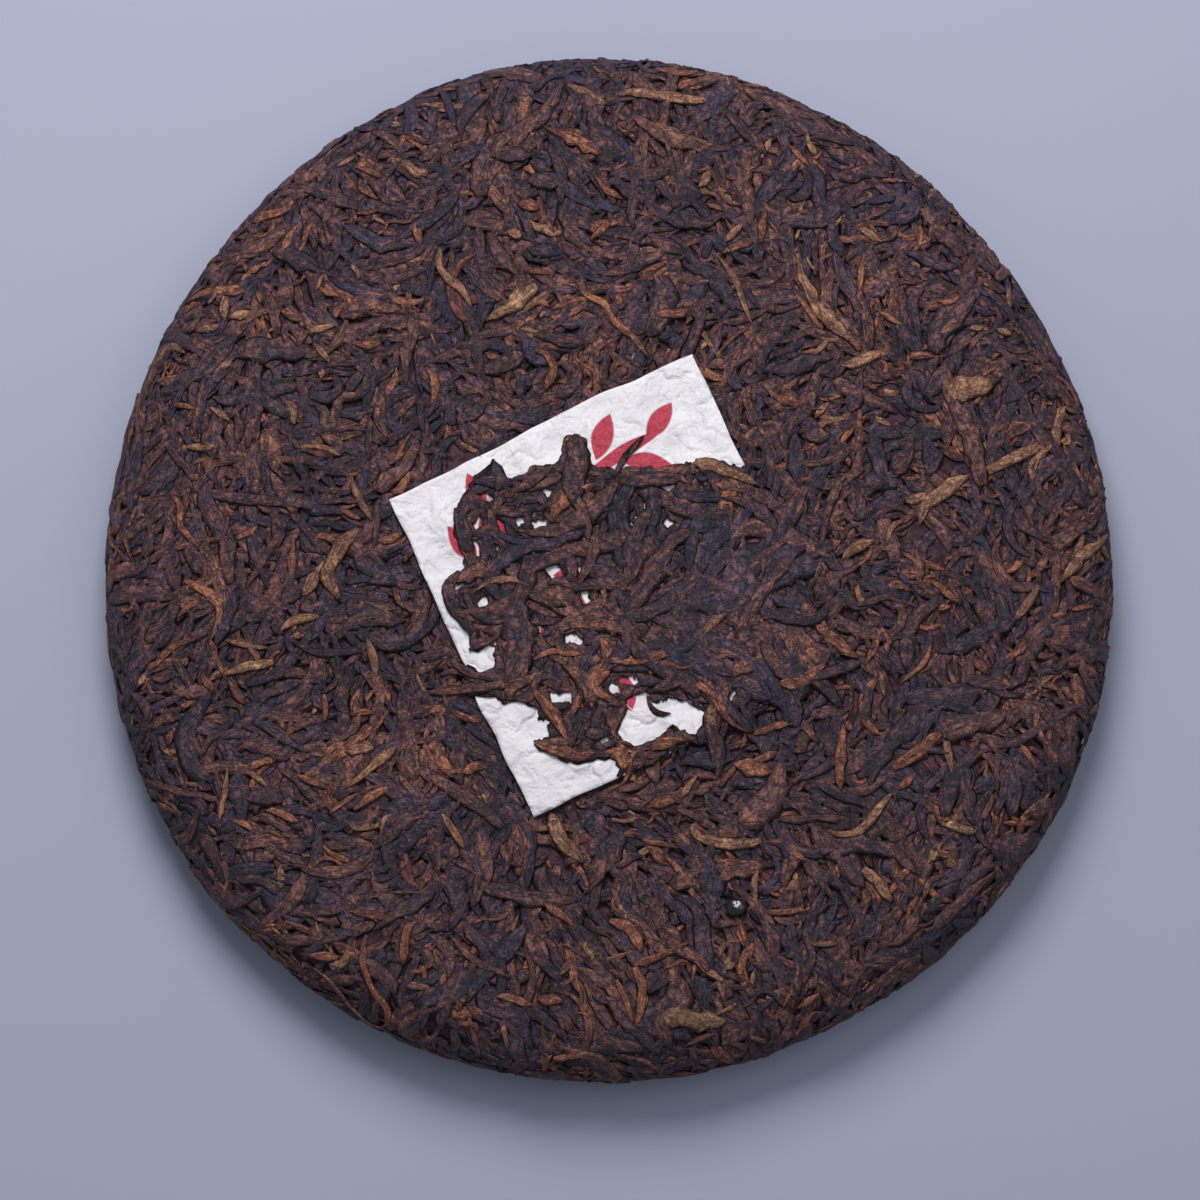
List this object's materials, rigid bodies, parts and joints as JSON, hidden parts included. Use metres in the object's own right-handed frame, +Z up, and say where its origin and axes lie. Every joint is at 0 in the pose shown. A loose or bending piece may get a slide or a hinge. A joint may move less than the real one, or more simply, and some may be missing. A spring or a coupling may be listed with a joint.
{
  "type": "ripe pu-erh tea cake",
  "caption": "Pressed round cake of ripe pu-erh tea leaves lying on its dimpled back, with a square white paper ticket half buried under leaves in its domed front.",
  "frame": {"origin": "middle of the part's box at the height of the flat foot ring that it rests on", "axes": "+Z points up out of the domed front with the ticket, +Y to the top of the front as it is displayed, +X to its right"},
  "size_m": [0.196, 0.2028, 0.0246],
  "materials": {
    "pressed_tea": "dry pressed tea leaves, dark purple-brown with tan and reddish strips, matt with a faint sheen",
    "ticket_paper": "thin white rice paper, fibrous and wrinkled, with plain red marks"
  },
  "bodies": {
    "root": {"tea_cake": "pressed_tea", "ticket": "ticket_paper"}
  },
  "joints": []
}
